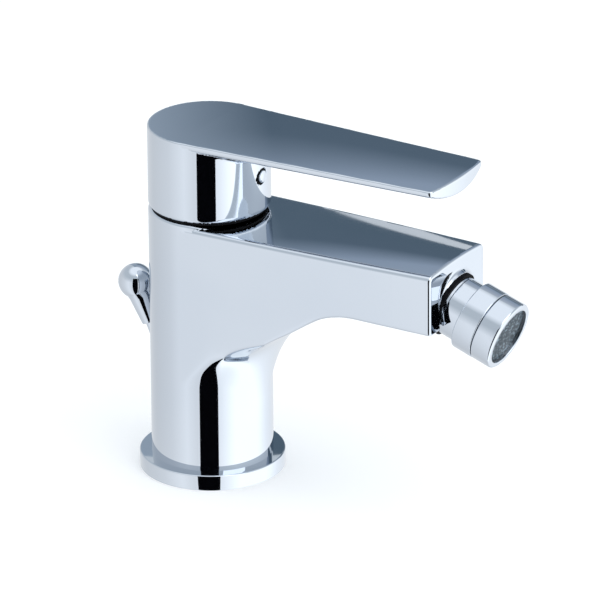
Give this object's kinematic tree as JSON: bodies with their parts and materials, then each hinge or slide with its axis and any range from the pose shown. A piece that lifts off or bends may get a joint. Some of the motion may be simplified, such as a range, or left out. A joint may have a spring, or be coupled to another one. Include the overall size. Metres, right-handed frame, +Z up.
{
  "type": "bidet mixer",
  "caption": "Single lever bidet mixer: round column with a flared flat spout, paddle lever, swivel nozzle on a ball joint and a lift rod for the pop-up waste.",
  "frame": {"origin": "centre of the foot ring's underside, on the deck", "axes": "+X along the spout towards the nozzle, +Z up, +Y to the left of the spout"},
  "size_m": [0.1761, 0.0562, 0.1406],
  "materials": {
    "chrome": "polished chrome plate",
    "brass": "machined",
    "steel": "plain",
    "rubber": "matt",
    "ceramic": "lapped",
    "grey_plastic": "moulded",
    "white_plastic": "moulded",
    "black_plastic": "gloss"
  },
  "bodies": {
    "mixer": {"body": "chrome", "base_flange": "chrome", "base_seal": "rubber", "cartridge_base": "grey_plastic", "port_seals": "rubber", "cartridge_housing": "grey_plastic", "fixed_disc": "ceramic", "retaining_nut": "brass", "dome_cover": "black_plastic", "nozzle_gasket": "rubber", "nozzle_stub": "chrome", "socket_collar": "chrome", "rod_bush": "grey_plastic", "rod_seal": "rubber"},
    "turret": {"turret": "white_plastic", "pivot_pin": "steel"},
    "lever": {"stem": "brass", "handle": "chrome", "grub_screw": "steel", "index_plug": "chrome"},
    "disc_slide": {"disc_carrier": "grey_plastic", "moving_disc": "ceramic"},
    "liner": {"ball_liner": "grey_plastic"},
    "nozzle": {"swivel_ball": "chrome", "nozzle_shroud": "chrome", "aerator_housing": "chrome", "aerator_gasket": "rubber", "aerator_insert": "grey_plastic", "aerator_screen": "steel"},
    "lift": {"lift_knob": "chrome", "lift_rod": "chrome"}
  },
  "joints": [
    {"name": "handle_turn", "type": "hinge", "parent": "mixer", "child": "turret", "pos_m": [0, 0, 0.094], "axis": [0, 0, 1], "range_deg": [-45, 45]},
    {"name": "handle_lift", "type": "hinge", "parent": "turret", "child": "lever", "pos_m": [0, 0, 0.094], "axis": [0, -1, 0], "range_deg": [0, 20]},
    {"name": "disc_travel", "type": "slide", "parent": "turret", "child": "disc_slide", "axis": [1, 0, 0], "range_m": [0, 0.0049]},
    {"name": "nozzle_swing", "type": "hinge", "parent": "mixer", "child": "liner", "pos_m": [0.11492, 0, 0.08588], "axis": [0.3305, 0, 0.9438], "range_deg": [-12, 12]},
    {"name": "nozzle_tilt", "type": "hinge", "parent": "liner", "child": "nozzle", "pos_m": [0.11492, 0, 0.08588], "axis": [0, 1, 0], "range_deg": [-12, 12]},
    {"name": "lift_rod_pull", "type": "slide", "parent": "mixer", "child": "lift", "axis": [-0.3939, 0, 0.9191], "range_m": [0, 0.025]}
  ],
  "couplings": [
    {"joint": "disc_travel", "follows": "handle_lift", "m_per_rad": 0.0139}
  ]
}
